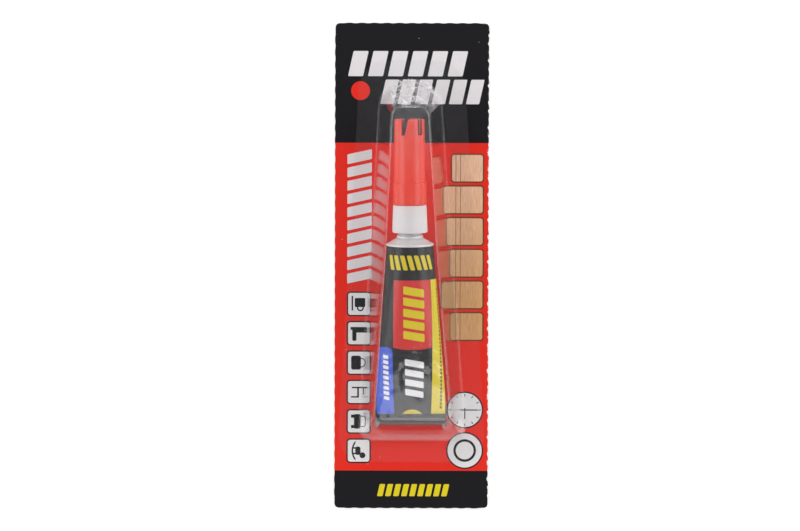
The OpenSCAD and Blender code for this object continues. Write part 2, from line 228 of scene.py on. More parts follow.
class StageSettings(PropertyGroup):
    """Studio round the part."""

    distance: length("Distance", "Distance of the camera from the card", 600)
    aim: lengths("Aim", "Point that the camera looks at", -3.39, 0.14, 0)
    lens: FloatProperty(name="Lens", description="Focal length of the camera", default=94.06, unit="CAMERA")
    lean: angle("Lean", "How far the camera stands towards the head of the card", 1)
    roll: angle("Roll", "Roll of the camera", 0.166)
    horizon: level("Horizon", "Light of the studio's walls", 1.19)
    ceiling: level("Ceiling", "Light of the studio's ceiling", 0.19)
    side: level("Side panels", "Light of the two side panels", 1.95)
    upper: level("Upper panel", "Light of the panel over the foot of the card", 2.0)
    head: level("Head panel", "Light of the panel past the head of the card", 9.0)
    floor: colour("Floor", "Pale floor", 240, 240, 240)
    glow: level("Glow", "How much the floor is lifted towards white where it is seen", 0.3)


class GlueTubeSettings(PropertyGroup):
    """All settings of the part and its stage."""

    tube: PointerProperty(type=TubeSettings, name="Tube", description="Sizes and print of the tube")
    nozzle: PointerProperty(type=NozzleSettings, name="Nozzle", description="Sizes of the nozzle")
    cap: PointerProperty(type=CapSettings, name="Cap", description="Sizes of the cap")
    film: PointerProperty(type=FilmSettings, name="Film", description="Sizes of the clear blister")
    card: PointerProperty(type=CardSettings, name="Card", description="Colours of the card")
    stage: PointerProperty(type=StageSettings, name="Stage", description="Camera and light")


# Modelling


def deselect_all():
    """Nothing stays selected, so that the next operator acts only on what it is given."""
    bpy.ops.object.select_all(action="DESELECT")


def select_only(piece):
    """One piece is selected and active."""
    deselect_all()
    piece.select_set(True)
    bpy.context.view_layer.objects.active = piece


def added(operator, **settings):
    """What an operator adds to the scene, with nothing else selected."""
    deselect_all()
    operator(**settings)
    return bpy.context.object


def apply_place(piece):
    """The piece's place, turn and scale go into its mesh."""
    select_only(piece)
    bpy.ops.object.transform_apply(location=True, rotation=True, scale=True)


@contextmanager
def editing(piece):
    """Edit mode on one piece, with all of it selected at first."""
    select_only(piece)
    bpy.ops.object.mode_set(mode="EDIT")
    bpy.ops.mesh.select_all(action="SELECT")
    yield
    bpy.ops.object.mode_set(mode="OBJECT")


def pick_edges(piece, test):
    """Select the edges of the edited piece for whose two ends the test holds, and nothing else."""
    mesh = bmesh.from_edit_mesh(piece.data)
    bpy.ops.mesh.select_mode(type="EDGE")
    bpy.ops.mesh.select_all(action="DESELECT")
    for edge in mesh.edges:
        if all(test(vertex.co) for vertex in edge.verts):
            edge.select_set(True)
    mesh.select_flush_mode()


def pick_between(piece, low, high):
    """Select the edges of the edited piece that lie between two heights, and nothing else."""
    pick_edges(piece, lambda point: low < point.z < high)


def face_outward():
    """The faces of the edited piece turn outward."""
    bpy.ops.mesh.select_all(action="SELECT")
    bpy.ops.mesh.normals_make_consistent(inside=False)


def named(piece, name):
    """Give a piece and its mesh their name."""
    piece.name = name
    piece.data.name = name
    return piece


def modify(piece, kind, **settings):
    """Add a modifier and apply it."""
    select_only(piece)
    modifier = piece.modifiers.new(kind.title(), kind)
    for name, value in settings.items():
        setattr(modifier, name, value)
    bpy.ops.object.modifier_apply(modifier=modifier.name)


def join(pieces, name):
    """Make several pieces one."""
    select_only(pieces[0])
    for piece in pieces[1:]:
        piece.select_set(True)
    bpy.ops.object.join()
    return named(pieces[0], name)


def ring(radius, height, sides):
    """A ring of edges round the z axis."""
    piece = added(bpy.ops.mesh.primitive_circle_add, vertices=sides, radius=radius, location=(0, 0, height))
    apply_place(piece)
    return piece


def lead_ring(rise, height, scale_x, scale_y):
    """Extrude the selected ring along z, then scale it about the axis at its new height."""
    bpy.ops.mesh.extrude_edges_move(TRANSFORM_OT_translate={"value": (0, 0, rise)})
    bpy.ops.transform.resize(value=(scale_x, scale_y, 1), center_override=(0, 0, height))


def turned(profile, sides=96):
    """A piece turned on the z axis: a ring is led along the profile, whose ends are joined or shut."""
    piece = ring(*profile[0], sides)
    with editing(piece):
        for (radius, height), (next_radius, next_height) in zip(profile, profile[1:]):
            scale = next_radius / radius
            lead_ring(next_height - height, next_height, scale, scale)
        bpy.ops.mesh.select_all(action="SELECT")
        bpy.ops.mesh.remove_doubles(threshold=1e-6)
        bpy.ops.mesh.select_all(action="SELECT")
        bpy.ops.mesh.fill_holes(sides=0)
        face_outward()
    return piece


def arc(centre, radius, start, end, steps=6):
    """Points of an arc in a profile, with its angles in degrees."""
    turns = [math.radians(start + (end - start) * step / steps) for step in range(steps + 1)]
    return [(centre[0] + radius * math.cos(turn), centre[1] + radius * math.sin(turn)) for turn in turns]


def thread(radius, depth, start, pitch, turns):
    """A helical ridge: a small diamond led round the z axis by a Screw modifier."""
    ridge = added(
        bpy.ops.mesh.primitive_circle_add, vertices=4, radius=depth,
        location=(radius - depth, 0, start), rotation=(math.pi / 2, 0, 0),
    )
    apply_place(ridge)
    modify(
        ridge, "SCREW", axis="Z", angle=math.tau, screw_offset=pitch, iterations=turns,
        steps=48, render_steps=48, use_smooth_shade=False,
    )
    with editing(ridge):
        bpy.ops.mesh.fill_holes(sides=4)
        face_outward()
    return ridge


def lay_on_axis(piece):
    """Lean a piece that was made along z onto the tube's axis."""
    piece.rotation_euler = ON_AXIS
    piece.location = SHOULDER
    apply_place(piece)


def smooth(piece, degrees):
    """Shade smooth, with creases where faces meet at more than an angle."""
    select_only(piece)
    bpy.ops.object.shade_smooth_by_angle(angle=math.radians(degrees))


# Finishes


def by_node(operation):
    """A method that feeds a socket and other values to a Math node of one kind."""
    return lambda self, *others: self.maths(operation, *others)


class Shade:
    """A shader's socket in Python sums: each sum adds its Math node."""

    def __init__(self, finish, socket):
        self.finish = finish
        self.socket = socket

    def maths(self, operation, *others, clamp=False):
        return self.finish.node("Math", (self, *others), operation=operation, use_clamp=clamp)

    __add__ = __radd__ = by_node("ADD")
    __sub__ = by_node("SUBTRACT")
    __mul__ = __rmul__ = by_node("MULTIPLY")
    __truediv__ = by_node("DIVIDE")
    __pow__ = by_node("POWER")
    __abs__ = by_node("ABSOLUTE")
    __gt__ = by_node("GREATER_THAN")
    __lt__ = by_node("LESS_THAN")
    lowest = by_node("MINIMUM")
    highest = by_node("MAXIMUM")

    def __rsub__(self, other):
        return self.maths("MULTIPLY_ADD", -1, other)

    def __neg__(self):
        return self * -1

    def clamped(self):
        return self.maths("ADD", 0, clamp=True)


class Finish:
    """The nodes of a procedural material, with its paint in layers, or of the world."""

    def __init__(self, name, kind="materials"):
        self.block = getattr(bpy.data, kind).new(name)
        self.block.use_nodes = True
        self.tree = self.block.node_tree
        self.tree.nodes.clear()
        self.paint = None

    def node(self, kind, values=(), output=0, **settings):
        """Add a node: its settings, then the values or links of its sockets. Gives one of its outputs."""
        node = self.tree.nodes.new("ShaderNode" + kind)
        for name, value in settings.items():
            setattr(node, name, value)
        for key, value in values.items() if isinstance(values, dict) else enumerate(values):
            if isinstance(value, Shade):
                self.tree.links.new(value.socket, node.inputs[key])
            else:
                node.inputs[key].default_value = value
        return Shade(self, node.outputs[output]) if node.outputs else None

    def place(self, origin=(0, 0, 0), turn=(0, 0, 0)):
        """The object's own point in millimetres, from an origin and along turned axes."""
        point = self.node("TexCoord", output="Object")
        return self.node(
            "Mapping",
            {"Vector": point, "Location": origin, "Rotation": turn, "Scale": (MM, MM, MM)},
            vector_type="TEXTURE",
        )

    def parts(self, vector):
        """The x, y and z of a vector."""
        split = self.node("SeparateXYZ", [vector]).socket.node
        return [Shade(self, socket) for socket in split.outputs]

    def vector(self, x, y, z):
        return self.node("CombineXYZ", [x, y, z])

    def noise(self, vector, scale, detail=3.0, roughness=0.5):
        """Cloudy noise about 0.5, with a scale in features for each millimetre."""
        return self.node(
            "TexNoise",
            {"Vector": vector, "Scale": scale, "Detail": detail, "Roughness": roughness},
        )

    def mix(self, share, first, second):
        """The second colour over the first one, by a share."""
        first, second = (tone if isinstance(tone, Shade) else (*tone, 1) for tone in (first, second))
        return self.node("Mix", {0: share, 6: first, 7: second}, output=2, data_type="RGBA")

    def over(self, tone, mask):
        """Another layer of paint, where its mask is."""
        self.paint = self.mix(mask, self.paint, tone)

    def bump(self, height, depth, strength):
        """A normal from a height, with its depth in millimetres."""
        return self.node("Bump", {"Height": height, "Distance": depth * MM, "Strength": strength})

    def principled(self, **sockets):
        """A Principled surface in the paint, with its other sockets by their names."""
        values = {name.replace("_", " "): value for name, value in sockets.items()}
        return self.surface(self.node("BsdfPrincipled", {"Base Color": self.paint, **values}))

    def surface(self, shader):
        self.node("OutputMaterial", {"Surface": shader})
        return self.block


def begun(name, *axes):
    """A new finish, with its point and that point's x, y and z."""
    finish = Finish(name)
    point = finish.place(*axes)
    return finish, point, *finish.parts(point)


# Flat drawing in a shader, in millimetres: a shape is its distance, which is negative inside it


def box_mark(x, y, centre, half, corner=0.0):
    """A rectangle with rounded corners."""
    across = abs(x - centre[0]) - (half[0] - corner)
    along = abs(y - centre[1]) - (half[1] - corner)
    outside = across.highest(0) ** 2 + along.highest(0) ** 2
    return outside ** 0.5 + across.highest(along).lowest(0) - corner


def disc_mark(x, y, centre, radius):
    """A disc."""
    return ((x - centre[0]) ** 2 + (y - centre[1]) ** 2) ** 0.5 - radius


def inside(distance, soft=0.06):
    """1 inside a shape and 0 outside it, with a soft edge."""
    return distance.maths("MULTIPLY_ADD", -1 / soft, 0.5, clamp=True)


def line(distance, half):
    """1 on a shape's outline."""
    return inside(abs(distance) - half)


def repeated(value, pitch):
    """A value that starts again at each pitch, from its middle."""
    return value - (value / pitch).maths("ROUND") * pitch


def bars(along, across, centre, half, pitch_count, half_bar, slant):
    """A row of slanted bars along one direction: its centre, half its height, pitch and number."""
    pitch, number = pitch_count
    place = along - centre[0] - (across - centre[1]) * slant
    start = pitch / 2 if number % 2 == 0 else 0
    bar = box_mark(repeated(place - start, pitch), across, (0, centre[1]), (half_bar, half), 0.3)
    return inside(bar) * inside(abs(place) - number * pitch / 2)


def tube_metal(tube):
    """Dulled aluminium of the shoulder, with the fine rings of turning, and painted shade on the neck under
    the collar.
    """
    finish, point, x, y, z = begun("tube_metal", SHOULDER, ON_AXIS)
    rings = finish.noise(finish.vector(x * 0.15, y * 0.15, z * 9), 1.0, 2)
    dull = finish.noise(point, 0.9, 4)
    grain = finish.noise(point, 7.0)
    finish.paint = finish.mix(dull * 0.4, tube.metal, darker(tube.metal, 0.8))
    # Painted shade: the neck above the cone is painted darker, standing in for the shadow under the collar
    finish.over(darker(tube.metal, 0.55), inside(tube.cone / MM + 1.1 - z, 0.5))
    return finish.principled(
        Metallic=0.15 + dull * 0.25, Roughness=0.32 + dull * 0.16 + grain * 0.08,
        Normal=finish.bump(rings + grain * 0.6, 0.02, 0.5),
    )


def crimp_metal(tube):
    """The flat tail: dull, speckled aluminium with the fine upright ribs of the crimping jaws, and painted
    shade over the band above the fold.
    """
    finish, point, x, y, z = begun("crimp_metal", SHOULDER, ON_AXIS)
    speckle = finish.noise(point, 5.5, 4, 0.7)
    cloud = finish.noise(point, 0.5)
    ribs = abs(repeated(x, 0.62)) / 0.31
    fold_top = (tube.fold - tube.crimp - tube.body) / MM
    finish.paint = finish.mix(speckle, darker(tube.metal, 0.08), darker(tube.metal, 0.3))
    finish.over(ink(88, 74, 76), cloud * 0.5)
    # Painted shade: the band between the print's end and the fold is painted nearly black, standing in for
    # shade and dark reflection over the fold's top
    finish.over(darker(tube.metal, 0.02), inside(fold_top - z, 0.2) * 0.8)
    return finish.principled(
        Metallic=0.85, Roughness=0.36 + speckle * 0.2,
        Normal=finish.bump(ribs * 0.35 + speckle, 0.05, 0.6),
    )


def printed_label(tube):
    """The print round the tube, by the length round its wall and the length below its rim."""
    finish, point, x, y, z = begun("printed_label", SHOULDER, ON_AXIS)
    radius, tail = tube.radius / MM, tube.tail_half / MM
    below = -z
    share = (below * (MM / tube.body)).clamped()
    half_width = radius + share * (tube.crimp_half / MM - radius)
    half_depth = tail + (1.001 - share) ** tube.collapse * (radius - tail)
    turn = (x / half_width).maths("ARCTAN2", -(y / half_depth))
    around = turn * radius * (1 - share) + x * share
    front = y < 0

    grain = finish.noise(point, 3.2, 4)
    cloud = finish.noise(point, 0.35)
    finish.paint = finish.mix(cloud * 0.25, tube.black, ink(36, 36, 39))
    panel = box_mark(around, below, (0.6, 20), (5.1, 10), 0.3)
    panel = panel.highest(disc_mark(around, below, (0.6, 12.5), 17.6))
    finish.over(tube.yellow, bars(around, below, (0.2, 5), 2.1, (1.9, 7), 0.62, 0.25))
    slant = 0.2
    for tone, mark in (
        (tube.red, inside(panel)),
        (tube.yellow, inside(box_mark(around, below, (7.8, 31), (2, 21)))),
        (tube.blue, inside(box_mark(around, below, (-7.2, 40), (2.5, 10.6), 1.6))),
        (tube.yellow, inside(disc_mark(around, below, (0.4, 51.2), 3.6))),
        (tube.yellow, bars(below, around, (19.7, 0.9), 2.7, (3.2, 5), 1.15, slant)),
        (tube.white, bars(below, around, (38.4, 1), 2.5, (2.9, 4), 0.95, slant)),
        (tube.white, bars(below, around, (38.2, -6.7), 0.8, (1.5, 9), 0.5, slant)),
        (tube.black, bars(below, around, (30, 8.5), 0.32, (1.1, 32), 0.36, slant)),
    ):
        finish.over(tone, mark * front)
    dents = finish.noise(point, 0.22, 2)
    return finish.principled(
        Roughness=0.22 + grain * 0.08 + cloud * 0.06, Specular_IOR_Level=0.38,
        Coat_Weight=0.08, Coat_Roughness=0.14,
        Normal=finish.bump(dents + grain * 0.02, 0.4, 0.3),
    )


def nozzle_plastic(nozzle):
    """Satin polyethylene with faint flow marks, a fine moulded grain and a painted red glow from the cap at
    the top of the collar.
    """
    finish, point, x, y, z = begun("white_plastic", SHOULDER, ON_AXIS)
    flow = finish.noise(finish.vector(x * 0.9, y * 0.9, z * 0.12), 1.0)
    grain = finish.noise(point, 9.0, 2)
    finish.paint = finish.mix(flow * 0.4, nozzle.plastic, darker(nozzle.plastic, 0.86))
    # Painted reflected light: the cap's red is painted into the collar, fading away from the cap
    cap_glow_share = ((z - nozzle.skirt_to / MM) / 4 + 1).clamped()
    finish.over(nozzle.painted_cap_glow, cap_glow_share ** 2 * 0.12)
    return finish.principled(
        Roughness=0.36 + grain * 0.12, Subsurface_Weight=0.18, Subsurface_Scale=0.0012,
        Normal=finish.bump(flow + grain * 0.3, 0.04, 0.4),
    )


def cap_plastic(cap):
    """Red polypropylene with slight streaks along the cap and a satin gloss, and painted shade inside the
    crown.
    """
    finish, point, x, y, z = begun("red_plastic", SHOULDER, ON_AXIS)
    streak = finish.noise(finish.vector(x * 1.6, y * 1.6, z * 0.1), 1.0)
    grain = finish.noise(point, 8.0, 2)
    finish.paint = finish.mix(streak * 0.45, cap.plastic, darker(cap.plastic, 0.84))
    # Painted shade: the cup and the sides of its slots are painted darker inwards, as shade inside the
    # crown
    painted_shade_inward = (-disc_mark(x, y, (0, 0), cap.top_radius / MM - 0.1) / 0.6).clamped()
    cup = inside(cap.floor_to / MM - 0.05 - z) * inside(z - cap.top / MM + 0.2, 0.2)
    finish.over(darker(cap.plastic, 0.2), painted_shade_inward * cup)
    return finish.principled(
        Roughness=0.22 + streak * 0.1 + grain * 0.05, Subsurface_Weight=0.08, Subsurface_Scale=0.001,
        Normal=finish.bump(streak + grain * 0.1, 0.05, 0.35),
    )


def clear_film(film):
    """Clear film: what is behind it, under a gloss that grows with a grazing look, a slight haze and
    painted crease highlights at the head.
    """
    finish, point, x, y, z = begun("clear_film")
    flange_top = (FILM_BOX[0].z + film.thickness) / MM + 0.2
    dome = inside(flange_top - z, 0.2)
    wave = finish.noise(point, 0.12, 2)
    ripple = finish.noise(point, 0.9, 2)
    # A small dent in the head's edge, and film that is stretched cloudy there
    dent = (1 - ((x - 0.9) / 2.6) ** 2 - ((y - 46.6) / 1.7) ** 2).clamped() ** 2
    head = inside(45.4 - y, 0.9) * inside(abs(x - 0.3) - 6.6, 1.2) * dome
    roof_head = ((y - 23) / 21).clamped() * inside(14 - z, 1)
    # The walls are drawn down, which leaves streaks in them
    up = finish.parts(finish.node("NewGeometry", output="Normal"))[2]
    wall = inside(up - 0.7, 0.3)
    streaks = finish.noise(finish.vector(x * 1.4, y * 0.06, z * 1.4), 1.0, 3)
    height = wave * 0.12 + ripple * 0.008 - dent + streaks * wall * 0.05
    normal = finish.bump(height, 1.0, 1.0)
    cloud = finish.noise(point, 0.45, 4)
    # Painted highlights: thin milky lines at the head stand in for the glints of crumpled film
    creases = inside(abs(finish.noise(point, 0.26, 0) - 0.5) - 0.016, 0.03)
    facing = finish.node("LayerWeight", {"Blend": 0.5, "Normal": normal}, output="Facing")
    clear = finish.node("BsdfTransparent", {"Color": (1, 1, 1, 1)})
    milk = finish.node("BsdfDiffuse", {"Color": (0.9, 0.92, 0.95, 1)})
    gloss = finish.node("BsdfGlossy", {"Color": (1, 1, 1, 1), "Roughness": 0.05, "Normal": normal})
    foot = dome * inside(z - flange_top - 0.5, 0.3)
    tail = dome * inside(y + 46.6, 0.6)
    # The haze at the head also carries the painted crease highlights
    haze = 0.005 + cloud * 0.012 + head * (cloud * 0.16 + creases * 0.5) + roof_head * cloud * 0.075
    haze = haze + foot * 0.056 + tail * cloud * 0.08
    body = finish.node("MixShader", [haze, clear, milk])
    share = facing ** 5 * 0.96 + dome * 0.036 + 0.002
    return finish.surface(finish.node("MixShader", [share, body, gloss]))


def print_bars(finish, card, x, y):
    """Rows of plain slanted bars, and a dot."""
    slant = 0.22
    finish.over(card.white, bars(x, y, (-1.2, 57.95), 3.6, (5.7, 6), 2.15, slant))
    finish.over(card.white, bars(x, y, (5.8, 49.9), 3.5, (4.9, 6), 1.9, slant))
    finish.over(card.red, inside(disc_mark(x, y, (-14.8, 50.2), 2.7)))
    finish.over(card.white, bars(y, x, (14.2, -15), 3.5, (3.8, 10), 1.4, slant))
    finish.over(card.yellow, bars(x, y, (0.6, -64.4), 1.75, (2.3, 9), 0.8, slant))


def print_planks(finish, card, x, y):
    """A stack of planks at the right, with fine grain and two grooves."""
    pitch, planks, right = 9.08, 6, 20.5
    along = y - 5.4
    half = 5.3 + ((along / pitch).maths("FLOOR") * 2.4).maths("SINE") * 0.7
    plank = box_mark(x, repeated(along - pitch / 2, pitch), (right - half, 0), (half, 4.0), 0.9)
    plank = plank.highest(abs(along) - planks * pitch / 2)
    grain = finish.noise(finish.vector(x * 5, y * 0.3, 0), 1.0, 4, 0.6)
    wood = finish.mix(((30 - y) / 40).clamped(), card.gold, card.deep_gold)
    wood = finish.mix((grain * 2.4 - 0.95).clamped() * 0.45, wood, card.brown)
    finish.over(wood, inside(plank))
    grooves = line(x - 12.6, 0.07).highest(line(x - 13.9, 0.07)) * inside(plank)
    finish.over(card.brown, line(plank, 0.2).highest(grooves))


def sign_figure(index, u, v):
    """One of six upright figures: a mug, a boot, a bag, a chair, a cart and a rocking toy."""
    def block(centre, half, corner=0.1):
        return box_mark(u, v, centre, half, corner)

    def pair(centre, half, corner=0.1):
        return box_mark(abs(u), v, centre, half, corner)

    def disc(centre, radius):
        return disc_mark(u, v, centre, radius)

    figures = (
        lambda: block((-0.4, 0.3), (1.3, 1.5), 0.3).lowest(abs(disc((1.1, 0.4), 0.8)) - 0.2)
        .lowest(block((-0.2, -1.9), (2.1, 0.22))),
        lambda: block((-1.0, 0.4), (0.8, 1.9), 0.3).lowest(block((0.2, -1.3), (2.0, 0.6), 0.5))
        .lowest(block((-1.4, -1.9), (0.4, 0.5))),
        lambda: block((0, -0.8), (2.0, 1.4), 0.6).lowest(abs(disc((0, 0.6), 1.25)) - 0.14),
        lambda: block((-1.3, 0.2), (0.2, 2.2)).lowest(block((0.1, -0.2), (1.5, 0.24)))
        .lowest(block((1.4, -1.2), (0.2, 1.0))).lowest(block((-0.3, 1.3), (1.0, 0.15))),
        lambda: block((0, -0.4), (2.1, 0.95), 0.4).lowest(abs(block((0, 1), (1.5, 0.9), 0.5)) - 0.14)
        .lowest(pair((1.5, -1.7), (0.45, 0.5))),
        lambda: (abs(disc((0, 2.2), 4)) - 0.22).highest(v + 0.9).lowest(block((0, -0.2), (1.2, 0.75), 0.6))
        .lowest(disc((1.3, 1.1), 0.85)).lowest(pair((0.8, -1.0), (0.22, 0.9))),
    )
    return figures[index]()


def print_signs(finish, card, x, y):
    """Six small plain signs at the left, turned with their feet to the left edge."""
    pitch, signs = 8.44, 6
    across, first = x + 15.1, y + 10.9
    for index in range(signs):
        along = first + pitch * index
        tile = box_mark(across, along, (0, 0), (3.3, 3.35), 0.9)
        finish.over(card.grey, inside(tile))
        figure = sign_figure(index, -along, across)
        finish.over(card.black, inside(figure).highest(line(tile, 0.2)))


def print_dials(finish, card, x, y):
    """A plain dial and a plain disc at the right."""
    across, along = x - 15.36, y + 41.3
    dial = disc_mark(across, along, (0, 0), 5.1)
    spokes = abs(repeated(across.maths("ARCTAN2", along), math.tau / 12)) * 4
    ticks = inside(spokes - 0.12) * inside(abs(dial + 0.85) - 0.35)
    hands = box_mark(across, along, (1.2, 0), (2.6, 0.16), 0.1)
    hands = hands.lowest(box_mark(across, along, (0, -1), (0.16, 1.6), 0.1))
    finish.over(card.grey, inside(dial))
    finish.over(card.black, ticks.highest(inside(hands)).highest(line(dial, 0.2)))
    disc = disc_mark(x, y, (15.36, -52.95), 5.1)
    finish.over(card.white, inside(disc))
    finish.over(card.black, line(disc, 0.2).highest(line(disc + 2.2, 0.35)))


def printed_card(card):
    """The printed board: grounds, plain marks and signs, worn ink, torn fibre and a bare back."""
    finish, point, x, y, z = begun("card_board")
    fibre = finish.noise(point, 2.6, 5, 0.65)
    cloud = finish.noise(point, 0.25)
    finish.paint = finish.mix(cloud * 0.2, card.red, darker(card.red, 0.9))
    ground = inside(35.3 - y).highest(inside(y + 58.8))
    finish.over(card.black, ground)
    print_bars(finish, card, x, y)
    print_planks(finish, card, x, y)
    print_signs(finish, card, x, y)
    print_dials(finish, card, x, y)

    # Wear: pinholes in the ink, rubbed edges, torn fibre at the right, and bare sides and back
    cell = finish.node("TexVoronoi", {"Vector": point, "Scale": 0.28}, output="Distance")
    finish.over(card.board, (cell < 0.035) * 0.6)
    rim = box_mark(x, y, (0, 0), (22.1, 69.6), 1.2)
    tears = (finish.noise(finish.vector(x * 0.3, y, 0), 0.7, 4, 0.7) * 6 - 2.9).clamped()
    torn = inside(-(rim + 0.03 + fibre * tears * (x > 20) * 0.75), 0.1)
    finish.over(card.board, torn * (0.9 - ground * 0.6))
    up = finish.parts(finish.node("NewGeometry", output="Normal"))[2]
    bare = finish.mix(fibre * 0.6, card.board, darker(card.board, 0.8))
    finish.over(bare, up < 0.6)
    return finish.principled(
        Roughness=0.48 + fibre * 0.12, Specular_IOR_Level=0.08, Normal=finish.bump(fibre, 0.03, 0.35)
    )


def plain_finish(name, tone, roughness, metallic):
    """A clouded finish for a small inner piece."""
    finish = Finish(name)
    cloud = finish.noise(finish.place(), 2.0, 4)
    finish.paint = finish.mix(cloud * 0.6, tone, darker(tone, 0.75))
    return finish.principled(
        Metallic=metallic, Roughness=roughness + cloud * 0.15, Normal=finish.bump(cloud, 0.03, 0.4)
    )


def dress(piece, material, body, node):
    """Give a new piece its finish, its body and the node that it stands for."""
    piece.data.materials.clear()
    piece.data.materials.append(material)
    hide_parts(node)
    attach(piece, body)


def redress(node, material):
    """Give a piece of the frame its finish."""
    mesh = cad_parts[node].data
    mesh.materials.clear()
    mesh.materials.append(material)


# Operators


class GLUE_OT_card(Operator):
    """Print the card"""

    bl_idname = "glue.card"
    bl_label = "Card"

    def execute(self, context):
        redress("backing_card", printed_card(context.scene.glue_tube.card))
        return {"FINISHED"}


class GLUE_OT_tube(Operator):
    """Form the tube: turned shoulder, wall from round to flat, folded tail"""

    bl_idname = "glue.tube"
    bl_label = "Tube"

    def shoulder(self, size):
        """Rolled rim, cone and neck."""
        edge, fillet, neck_edge, land = 0.35 * MM, 0.25 * MM, 0.15 * MM, 0.1 * MM
        seat = size.rim - edge
        bead, bead_top = size.neck_bead - size.neck, size.cone + 0.9 * MM
        return turned([
            *arc((seat, -edge), edge, -90, 90, 12),
            *arc((size.neck_bead + fillet, size.cone + fillet), fillet, 241, 180, 4),
            *arc((size.neck, bead_top - bead), bead, 0, 90, 6),
            *arc((size.neck - neck_edge, size.neck_top - neck_edge), neck_edge, 0, 90, 3),
            (size.neck_bore, size.neck_top),
            (size.neck_bore, size.cone),
            (seat - land, -2 * edge),
            (seat, -2 * edge),
        ], 128)

    def wall(self, size):
        """A ring led down the tube, from round to flat."""
        start = 0.35 * MM / size.body
        steps = [1 - index / size.rings for index in range(size.rings + 1)]
        shares = [1 - (1 - start) * step ** 1.7 for step in steps]
        widths = [size.radius + (size.crimp_half - size.radius) * share for share in shares]
        depths = [
            size.tail_half + (size.radius - size.tail_half) * (1 - share) ** size.collapse
            for share in shares
        ]
        wall = ring(size.radius, -shares[0] * size.body, 96)
        with editing(wall):
            for index in range(size.rings):
                lead_ring(
                    (shares[index] - shares[index + 1]) * size.body,
                    -shares[index + 1] * size.body,
                    widths[index + 1] / widths[index],
                    depths[index + 1] / depths[index],
                )
            face_outward()
        modify(wall, "SOLIDIFY", thickness=size.wall, offset=-1)
        return wall

    def fold(self, size):
        """A strip that is bent twice to the front, then given its thickness."""
        step, foot = size.layer_step, -size.body - size.crimp
        top = -size.body
        low = foot + step + size.layer / 2
        high = foot + size.fold - step / 2 - size.layer / 2
        middle = (top + low) / 2
        strip = added(
            bpy.ops.mesh.primitive_plane_add,
            size=1, location=(0, 0, middle), rotation=(math.pi / 2, 0, 0),
        )
        strip.scale = (2 * size.crimp_half - 0.1 * MM, top - low, 1)
        apply_place(strip)
        with editing(strip):
            pick_edges(strip, lambda point: point.z < middle)
            bpy.ops.mesh.spin(steps=10, angle=math.pi, center=(0, -step, low), axis=(1, 0, 0))
            bpy.ops.mesh.extrude_edges_move(TRANSFORM_OT_translate={"value": (0, 0, high - low)})
            bpy.ops.mesh.spin(steps=8, angle=math.pi, center=(0, -1.5 * step, high), axis=(1, 0, 0))
            bpy.ops.mesh.extrude_edges_move(TRANSFORM_OT_translate={"value": (0, 0, low - high)})
            face_outward()
        modify(strip, "SOLIDIFY", thickness=size.layer, offset=0, use_even_offset=True)
        return strip

    def execute(self, context):
        size = context.scene.glue_tube.tube
        pieces = (
            (self.wall(size), "tube_wall", printed_label(size)),
            (self.shoulder(size), "tube_shoulder", tube_metal(size)),
            (self.fold(size), "tube_fold", crimp_metal(size)),
        )
        for piece, name, finish in pieces:
            lay_on_axis(named(piece, name))
            smooth(piece, 40)
            dress(piece, finish, "tube", "tube_body")
        return {"FINISHED"}


class GLUE_OT_filling(Operator):
    """Finish the small inner pieces: filling, sealant, foil and pin"""

    bl_idname = "glue.filling"
    bl_label = "Inner pieces"

    def execute(self, context):
        redress("glue_gel", plain_finish("glue_gel", ink(238, 235, 214), 0.1, 0.0))
        redress("tail_sealant", plain_finish("tail_sealant", ink(214, 198, 150), 0.6, 0.0))
        redress("neck_seal", plain_finish("seal_foil", ink(226, 227, 229), 0.2, 1.0))
        redress("cap_pin", plain_finish("pin_steel", ink(196, 198, 200), 0.25, 1.0))
        return {"FINISHED"}


class GLUE_OT_nozzle(Operator):
    """Turn the nozzle and lay the thread round its spout"""

    bl_idname = "glue.nozzle"
    bl_label = "Nozzle"

    def execute(self, context):
        size = context.scene.glue_tube.nozzle
        edge, chamfer = 0.4 * MM, 0.2 * MM
        spike_wall, spike_root, spout_foot = 0.25 * MM, 1.2 * MM, 2.5 * MM
        core = size.thread_radius - 0.42 * MM
        body = turned([
            (size.channel, size.spike),
            (size.channel + spike_wall, size.spike),
            (spike_root, size.ceiling),
            (size.bore, size.ceiling),
            (size.bore, size.skirt_from + chamfer),
            (size.bore + chamfer, size.skirt_from),
            *arc((size.skirt_foot - edge, size.skirt_from + edge), edge, -90, 0),
            *arc((size.skirt_top - edge, size.skirt_to - edge), edge, 0, 90),
            (core, size.skirt_to),
            (core, size.thread_to),
            (spout_foot, size.thread_to),
            *arc((size.tip_radius - chamfer, size.tip - chamfer), chamfer, 0, 90, 4),
            (size.channel, size.tip),
            (size.channel, size.spike),
        ])
        turns = int((size.thread_to - size.skirt_to) / size.thread_pitch) - 1
        start = size.skirt_to + 0.7 * MM
        ridge = thread(size.thread_radius, 0.5 * MM, start, size.thread_pitch, turns)
        nozzle = join([body, ridge], "spout_nozzle")
        lay_on_axis(nozzle)
        smooth(nozzle, 35)
        dress(nozzle, nozzle_plastic(size), "nozzle", "nozzle")
        return {"FINISHED"}


